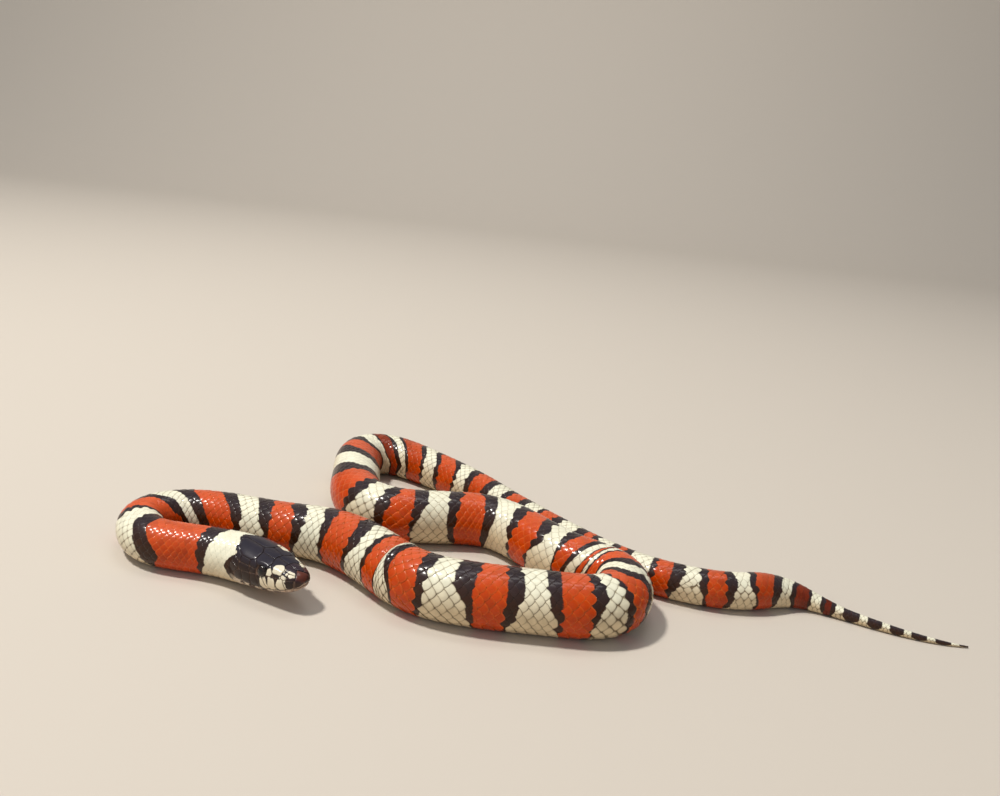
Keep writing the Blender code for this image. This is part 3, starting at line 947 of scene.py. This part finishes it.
# The scutes under the belly and the tail.
SCUTE_FORM = PlateForm(44, (1.0, 0.95, 0.82, 0.62, 0.40, 0.20), 0.95)
SCUTE_RISE = 0.16
SCUTE_TOP = 0.03
SCUTE_THICK = 0.10
SCUTE_BEVEL = 0.04
SCUTE_OVERLAP = 0.56        # half the length of a scute as a share of the spacing
FIRST_SCUTE = 11.2
THROAT_SPANS = [(10.6, 35.0), (12.6, 43.0), (14.6, 51.0), (16.5, 55.0)]    # distance, half width in degrees


def rim_of_scute(count):
    """Points spaced evenly round a scute, 1 long and 1 wide either way, almost square."""
    turn = np.linspace(0, 2 * math.pi, 721)
    x = np.sign(np.cos(turn)) * np.abs(np.cos(turn)) ** 0.45
    y = np.sign(np.sin(turn)) * np.abs(np.sin(turn)) ** 0.60
    run = run_along(np.stack([x, 4 * y], axis=-1))
    even = np.linspace(0.0, run[-1], count, endpoint=False)
    return np.stack([np.interp(even, run, x), np.interp(even, run, y)], axis=-1)


def place_scutes():
    """Distance, degrees and half the width of every scute."""
    s = np.interp(np.arange(int(CROSS_ROWS[-1])) + 0.25, CROSS_ROWS, STATIONS)
    s = s[(s > FIRST_SCUTE) & (s < LENGTH - 2.0)]
    half_span = 180.0 - DORSAL_SPAN + 5.0
    rows = [(s[s < VENT], 180.0, half_span)]
    for side in (-1, 1):
        rows.append((s[s >= VENT], 180.0 + side * half_span / 2, half_span / 2 + 1.5))
    centre, angle, span = np.concatenate([np.stack(np.broadcast_arrays(*row)) for row in rows], axis=1)
    return centre, angle, np.minimum(span, read(THROAT_SPANS, centre))


def make_scutes(material):
    """Broad scutes under the belly, one for each cross row, and pairs under the tail."""
    form = SCUTE_FORM
    centre, angle, span = np.array(place_scutes())[..., None]
    x, y = form.spread(rim_of_scute(form.around)).T
    pitch = along(PITCHES, centre)
    theta = angle + span * y
    fit = bend_fit(stretch_at(centre, theta))
    lift = SCUTE_RISE * (x + 1) / 2 + np.where(form.on_top, SCUTE_TOP, -SCUTE_THICK)
    lift = (lift - np.where(form.ring == 0, SCUTE_BEVEL, 0.0)) * thickness(centre)
    s = np.clip(centre + SCUTE_OVERLAP * pitch * fit * x, 0.5, LENGTH - 0.05)
    points = surface(s, theta, lift - coat_depth(s))
    marks_at = s + 0.7 * (centre - s)
    marks = make_marks(marks_at, theta, 0.35 * form.rim_marks(0.82, 0.16))
    u = 0.01 + 0.98 * centre / LENGTH + np.where(form.on_top, 0.0, 0.00055)
    places = np.stack([u + 0.11 * pitch / LENGTH * x, (theta - 120.0) / 120.0], axis=-1)
    make_mesh("belly_scutes", material, points, form.copies(len(centre)), places,
              coat_tint(marks_at, theta), marks)


# Corners where the plates of the head meet, as distance from the snout and degrees
# down the side. The plates on the left mirror those on the right.
CORNERS = {
    "nose": (2.4, 0.0), "snout_mid": (4.8, 0.0), "brow_mid": (8.2, 0.0), "crown_mid": (12.8, 0.0),
    "nape": (18.2, 0.0),
    "nose_side": (1.15, 25.0), "nasal_top": (2.5, 31.0), "nasal_back": (3.8, 29.0), "snout_top": (4.6, 16.0),
    "loreal_front": (3.7, 54.0), "loreal_back": (5.9, 57.0), "preocular_top": (7.2, 31.0),
    "brow_front": (7.9, 14.0), "brow_back": (11.5, 15.0), "brow_end": (11.3, 38.0),
    "parietal_low": (12.3, 46.0), "parietal_back": (15.2, 45.0), "parietal_end": (17.6, 33.0),
    "nape_side": (18.5, 14.0),
    "nasal_low": (0.78, 52.0), "nostril_low": (2.4, 66.0), "nasal_end": (3.6, 63.0), "lip_2": (3.1, 65.0),
    "lip_3": (5.0, 67.0), "preocular_low": (5.7, 67.0), "eye_front_low": (7.45, 73.0),
    "eye_front": (7.45, 51.0), "eye_top": (8.75, 46.5), "eye_back_top": (10.0, 51.0),
    "eye_back": (10.15, 63.0), "eye_back_low": (9.9, 74.5), "eye_low": (8.4, 78.0),
    "post_mid": (12.0, 60.0), "post_low": (11.4, 77.0),
    "temple_mid": (15.2, 60.0), "temple_low": (14.8, 76.0), "lip_7": (13.8, 77.0),
    "temple_end_1": (17.9, 49.0), "temple_end_2": (18.1, 65.0), "temple_end_3": (18.3, 81.0),
    "lip_end": (16.4, 90.0),
    "mental_back": (1.7, 180.0), "shield_mid": (6.3, 180.0), "shield_end": (10.6, 180.0),
    "shield_side": (10.3, 158.0),
}
CORNER_ROWS = {
    "mouth": [(0.66, 107.0), (2.1, 113.5), (4.5, 118.5), (6.6, 120.5), (8.9, 120.0), (11.3, 115.5),
              (13.7, 109.0), (16.2, 103.0)],
    "jaw": [(1.0, 110.0), (2.4, 116.0), (3.9, 119.5), (5.6, 122.0), (7.5, 122.8), (9.6, 121.5),
            (11.9, 117.0), (14.2, 110.5), (16.4, 105.0)],
    "chin": [(1.5, 138.0), (2.9, 141.0), (4.4, 143.0), (6.2, 144.0), (8.3, 144.0), (10.4, 141.0),
             (12.6, 134.0), (14.6, 125.0), (16.4, 117.0)],
}
for row_name, row_places in CORNER_ROWS.items():
    for number, row_place in enumerate(row_places, 1):
        CORNERS[f"{row_name}_{number}"] = row_place
SIDE_PLATES = {
    "internasal": "nose snout_mid snout_top nasal_back nasal_top nose_side",
    "prefrontal": "snout_mid brow_mid brow_front preocular_top loreal_back loreal_front nasal_back snout_top",
    "supraocular": "brow_front brow_back brow_end eye_back_top eye_top eye_front preocular_top",
    "parietal": "crown_mid nape nape_side parietal_end parietal_back parietal_low brow_end brow_back",
    "nasal_front": "nose_side nasal_top nostril_low nasal_low",
    "nasal_rear": "nasal_top nasal_back loreal_front nasal_end lip_2 nostril_low",
    "loreal": "loreal_front loreal_back preocular_low lip_3 nasal_end",
    "preocular": "loreal_back preocular_top eye_front eye_front_low preocular_low",
    "postocular_high": "brow_end parietal_low post_mid eye_back eye_back_top",
    "postocular_low": "eye_back post_mid post_low eye_back_low",
    "temporal_high": "parietal_low parietal_back temple_mid post_mid",
    "temporal_low": "post_mid temple_mid temple_low lip_7 post_low",
    "temple_1": "parietal_back parietal_end temple_end_1 temple_mid",
    "temple_2": "temple_mid temple_end_1 temple_end_2 temple_low",
    "temple_3": "temple_low temple_end_2 temple_end_3 lip_end",
    "lip_1": "nasal_low nostril_low lip_2 mouth_2 mouth_1",
    "lip_2": "lip_2 nasal_end lip_3 mouth_3 mouth_2",
    "lip_3": "lip_3 preocular_low eye_front_low eye_low mouth_4 mouth_3",
    "lip_4": "eye_low eye_back_low mouth_5 mouth_4",
    "lip_5": "eye_back_low post_low mouth_6 mouth_5",
    "lip_6": "post_low lip_7 mouth_7 mouth_6",
    "lip_7": "lip_7 temple_low lip_end mouth_8 mouth_7",
    "shield_front": "mental_back chin_1 chin_2 chin_3 chin_4 shield_mid",
    "shield_rear": "shield_mid chin_4 chin_5 chin_6 shield_side shield_end",
}
for number in range(1, 9):
    SIDE_PLATES[f"jaw_{number}"] = f"jaw_{number} jaw_{number + 1} chin_{number + 1} chin_{number}"
FRONTAL = [CORNERS[name] for name in ("brow_mid", "brow_front", "brow_back", "crown_mid")]
ROSTRAL = [(2.4, 0.0), (1.15, 25.0), (0.78, 52.0), (0.66, 107.0), (0.16, 180.0)]
MENTAL = [(0.28, 180.0), (0.95, 112.0), (1.3, 138.0), (1.65, 180.0)]
RED_BROWN_PLATES = {"rostral": 0.95, "nasal_front": 0.55, "internasal": 0.10}    # share of red-brown on top
PLATE_FORM = PlateForm(48, (1.0, 0.965, 0.91, 0.80, 0.62, 0.42, 0.21), 0.97)
PLATE_GAP = 0.0585          # half the width of the seams between plates
PLATE_TOP = 0.15
PLATE_UNDER = 0.06
PLATE_BEVEL = (0.06, 0.018)     # how far the first two rings lie lower
PLATE_DOME = 0.05
TIP_REACH = run_along(np.stack([STATIONS, WIDE], axis=-1))     # distance over the surface from the tip


def even_outline(corners, count, rounding):
    """Points spaced evenly round a polygon whose corners are eased."""
    for _ in range(2):
        ahead = np.roll(corners, -1, axis=0)
        cut = corners * (1 - rounding) + ahead * rounding
        other = corners * rounding + ahead * (1 - rounding)
        corners = np.stack([cut, other], axis=1).reshape(-1, 2)
    closed = np.vstack([corners, corners[:1]])
    run = run_along(closed)
    at = np.linspace(0.0, run[-1], count, endpoint=False)
    return np.stack([np.interp(at, run, closed[:, k]) for k in (0, 1)], axis=1)


def head_plate(corners, around_tip=False):
    """Distances, degrees and flat spread from the middle of the points of one plate.

    It is laid out flat: round the tip of the snout, or else on the side it lies on.
    """
    corners = np.asarray(corners, float)
    width = math.radians(along(WIDE, corners[:, 0].mean()))
    flat = corners * [1.0, width]
    if around_tip:
        angle = np.radians(corners[:, 1])
        flat = along(TIP_REACH, corners[:, :1]) * np.stack([np.cos(angle), np.sin(angle)], axis=-1)
    outline = even_outline(flat, PLATE_FORM.around, 0.10)
    if np.cross(outline, np.roll(outline, -1, axis=0)).sum() < 0:
        outline = outline[::-1]
    middle = outline.mean(axis=0)
    from_middle = outline - middle
    reach = np.linalg.norm(from_middle, axis=1, keepdims=True)
    spread = PLATE_FORM.spread(from_middle * np.maximum(1 - PLATE_GAP / reach, 0.3))
    x, y = (middle + spread).T
    if around_tip:
        return np.interp(np.hypot(x, y), TIP_REACH, STATIONS), np.degrees(np.arctan2(y, x)), spread
    return x, y / width, spread


def mirrored(corners):
    """The same corners on the left side."""
    return [(s, -theta) for s, theta in corners]


def both_sides(corners):
    """A plate on the middle line, from the corners of its right half."""
    return corners + mirrored(corners[-2:0:-1])


def plate_places(s, theta, spread):
    """The bake map of the plates: those at the tip and all undersides lie apart at one side."""
    places = np.stack([0.01 + 0.85 * s / 19.0, 0.5 + 0.49 * theta / 180.0], axis=-1)
    tip_size = np.abs(spread[:2]).max()
    for plate, middle in ((0, 0.75), (1, 0.25)):
        places[plate] = [0.93, middle] + 0.05 * spread[plate] / tip_size
    under = ~PLATE_FORM.on_top
    row = (np.arange(len(s)) + 0.5)[:, None, None] / len(s)
    size = np.linalg.norm(spread, axis=-1).max(axis=1)[:, None, None]
    places[:, under] = [0.992, 0.0] + MAP_HALF * spread[:, under] / size + row * [0.0, 1.0]
    return places


def make_head_plates(material):
    """The plates of the head: one piece of joined closed shells."""
    form = PLATE_FORM
    names = ["rostral", "mental", "frontal"]
    plates = [head_plate(both_sides(ROSTRAL), True), head_plate(both_sides(MENTAL), True),
              head_plate(both_sides(FRONTAL))]
    for name, corner_names in SIDE_PLATES.items():
        corners = [CORNERS[corner] for corner in corner_names.split()]
        plates += [head_plate(corners), head_plate(mirrored(corners))]
        names += [name, name]
    s, theta, spread = [np.stack(values) for values in zip(*plates)]
    lift = np.where(form.on_top, PLATE_TOP + PLATE_DOME * (1 - form.shares ** 2), -PLATE_UNDER)
    lift -= np.select([form.ring == 0, form.ring == 1], PLATE_BEVEL)
    points = surface(s, theta, lift - HEAD_COAT)
    brown = np.array([RED_BROWN_PLATES.get(name, 0.0) for name in names])[:, None]
    # The red-brown fades down the sides of these plates: painted shade on the lower snout.
    brown = brown * (1 - 0.85 * smooth_step(np.abs(wrapped(theta)), 24.0, 54.0))
    rims = 0.65 * form.rim_marks(0.93, 0.05) * seam_share(s, theta)
    colours = mix(head_tint(s, theta, brown), SEAM_BROWN, rims)
    tints = np.concatenate([colours, np.zeros(s.shape + (1,))], axis=-1)
    marks = make_marks(s, theta, 0.6 * form.rim_marks(0.92, 0.06))
    make_mesh("head_plates", material, points, form.copies(len(plates)),
              plate_places(s, theta, spread), tints, marks)


# The eyes.
EYE_AROUND = 48
EYE_RINGS = 31
EYE_ACROSS = 1.22           # half the width of the eye that shows
EYE_DEEP = 0.85             # half its depth
EYE_OUT = 0.12              # how far it stands out of the solids' eye
EYE_FORWARD = 12.0          # degrees the eye looks forward of straight out
EYE_UPWARD = 10.0
PUPIL_SHARE = 0.52


def eye_material():
    """Dark, wet eye: a round pupil in a dark brown iris under a clear scale."""
    made = Nodes("eye")
    streaks = made.ranged(made.noise(5000.0, 2.0), 0.6, 1.4)
    made.give(made.shader, {
        "Base Color": made.varied(made.attribute("tint")["Color"], streaks),
        "Roughness": 0.12,
        "Specular IOR Level": 0.2,
        "Coat Weight": 0.5,
        "Coat Roughness": 0.06,
    })
    return made.material


def make_eye(name, side, material):
    """One eye, flattened towards the head, looking a little forward and up."""
    middle, onward, right = body_frame(EYE_BACK)
    across, up = leaned(side * (along(WIDE, EYE_BACK) - EYE_RADIUS), EYE_UP, math.radians(HEAD_LEAN))
    look = side * right - onward * math.tan(math.radians(EYE_FORWARD))
    look = look + UPWARD * math.tan(math.radians(EYE_UPWARD))
    look /= np.linalg.norm(look)
    first = np.cross(look, UPWARD)
    first /= np.linalg.norm(first)
    second = np.cross(look, first)
    centre = middle + right * across + UPWARD * up + look * (EYE_RADIUS + EYE_OUT - EYE_DEEP)
    fall = np.linspace(0.0, math.pi, EYE_RINGS + 2)[1:-1]
    turn = np.arange(EYE_AROUND) * 2 * math.pi / EYE_AROUND
    fall, turn = [values.ravel() for values in np.meshgrid(fall, turn, indexing="ij")]
    fall = np.concatenate([fall, [0.0, math.pi]])
    turn = np.concatenate([turn, [0.0, 0.0]])
    radius = np.sin(fall)
    round_middle = np.stack([np.cos(turn), np.sin(turn)], axis=-1)
    points = (centre + EYE_DEEP * np.cos(fall)[:, None] * look
              + EYE_ACROSS * radius[:, None] * (round_middle @ [first, second]))
    iris = smooth_step(radius, PUPIL_SHARE - 0.03, PUPIL_SHARE + 0.03)
    colours = mix(mix(PUPIL, IRIS, iris), IRIS_RIM, smooth_step(radius, 0.80, 0.95))
    places = 0.5 + (fall / math.pi / 2)[:, None] * round_middle
    eye = make_mesh(name, material, points, closed_tube(EYE_RINGS, EYE_AROUND), places,
                    np.column_stack([colours, np.zeros(len(colours))]))
    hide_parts("right_eye" if side > 0 else "left_eye")


# The camera stands where the photo was taken from, and looks at the photo's angle.
CAMERA_PLACE = (-20.8, -208.3, 99.9)
CAMERA_PITCH = 16.06
CAMERA_ROLL = 6.82
LENS = 30.96


def make_camera():
    """The camera. In its own frame x is right, y down and z into the picture."""
    pitch = math.radians(CAMERA_PITCH)
    roll = math.radians(CAMERA_ROLL)
    upright = Vector((math.sin(roll) * math.cos(pitch), -math.cos(roll) * math.cos(pitch), -math.sin(pitch)))
    ahead = Vector((1.0, 0.0, 0.0)) - upright * upright.x
    ahead.normalize()
    beyond = upright.cross(ahead)
    right, down, into = [Vector(row) for row in zip(ahead, beyond, upright)]
    data = bpy.data.cameras.new("camera")
    data.lens = LENS
    data.sensor_width = 36.0
    data.clip_start = 0.01
    turned = Matrix((right, -down, -into)).transposed().to_4x4()
    turned.translation = Vector(CAMERA_PLACE) * MM
    camera = add_object("camera", data)
    camera.matrix_world = turned
    bpy.context.scene.camera = camera


# The floor and the backdrop, in metres.
FLOOR_HALF = 1.6
FLOOR_FRONT = -1.5
FLOOR_BACK = 0.9            # where the floor begins to curve up into the backdrop
BACKDROP_RADIUS = 0.5
BACKDROP_HEIGHT = 1.4
CURVE_STEPS = 16


def make_floor():
    """A plain pale floor that curves up behind into a backdrop."""
    line = [(FLOOR_FRONT, 0.0)]
    for step in range(CURVE_STEPS + 1):
        turn = step / CURVE_STEPS * math.pi / 2
        y = FLOOR_BACK + BACKDROP_RADIUS * math.sin(turn)
        line.append((y, BACKDROP_RADIUS * (1 - math.cos(turn))))
    line.append((FLOOR_BACK + BACKDROP_RADIUS, BACKDROP_HEIGHT))
    vertices = [(x, y, z) for y, z in line for x in (-FLOOR_HALF, FLOOR_HALF)]
    faces = [(2 * i, 2 * i + 1, 2 * i + 3, 2 * i + 2) for i in range(len(line) - 1)]
    mesh = bpy.data.meshes.new("floor")
    mesh.from_pydata(vertices, [], faces)
    mesh.shade_smooth()
    made = Nodes("floor")
    made.give(made.shader, {"Base Color": (0.60, 0.545, 0.475), "Roughness": 0.75})
    mesh.materials.append(made.material)
    add_object("floor", mesh)


def add_light(name, place, target, size, watts, colour):
    data = bpy.data.lights.new(name, "AREA")
    data.shape = "DISK"
    data.size = size
    data.energy = watts
    data.color = colour
    light = add_object(name, data)
    light.location = place
    light.rotation_euler = (Vector(target) - Vector(place)).to_track_quat("-Z", "Y").to_euler()


def make_lights():
    """Soft studio light: a key high on the left, a broad fill in front and one on the backdrop."""
    add_light("key", (-0.50, -0.10, 0.98), (0.0, -0.02, 0.0), 0.12, 10.3, (1.0, 0.96, 0.90))
    add_light("fill", (-0.62, -0.98, 0.45), (0.0, 0.0, 0.0), 2.0, 2.8, (1.0, 0.95, 0.88))
    add_light("back", (0.0, 0.35, 1.30), (0.0, 1.3, 0.45), 0.8, 6.0, (1.0, 0.97, 0.93))
    world = bpy.data.worlds.new("studio")
    world.use_nodes = True
    background = world.node_tree.nodes["Background"]
    background.inputs["Color"].default_value = (0.90, 0.94, 1.0, 1.0)
    background.inputs["Strength"].default_value = 0.30
    bpy.context.scene.world = world


make_camera()
make_floor()
make_lights()
bpy.context.scene.view_settings.view_transform = "Standard"
scale_finish = coat_material("scales", 0.27, 0.32, 6000.0, 0.25, WHITE_TOP)
skin_finish = coat_material("skin", 0.45, 0.04, 4000.0, 0.6, WHITE_TOP)
plate_finish = coat_material("head_plates", 0.34, 0.50, 5000.0, 0.2, PALE_PATCH)
make_skin(skin_finish)
make_scales(scale_finish)
make_scutes(scale_finish)
make_head_plates(plate_finish)
eye_finish = eye_material()
make_eye("eye_right", 1, eye_finish)
make_eye("eye_left", -1, eye_finish)
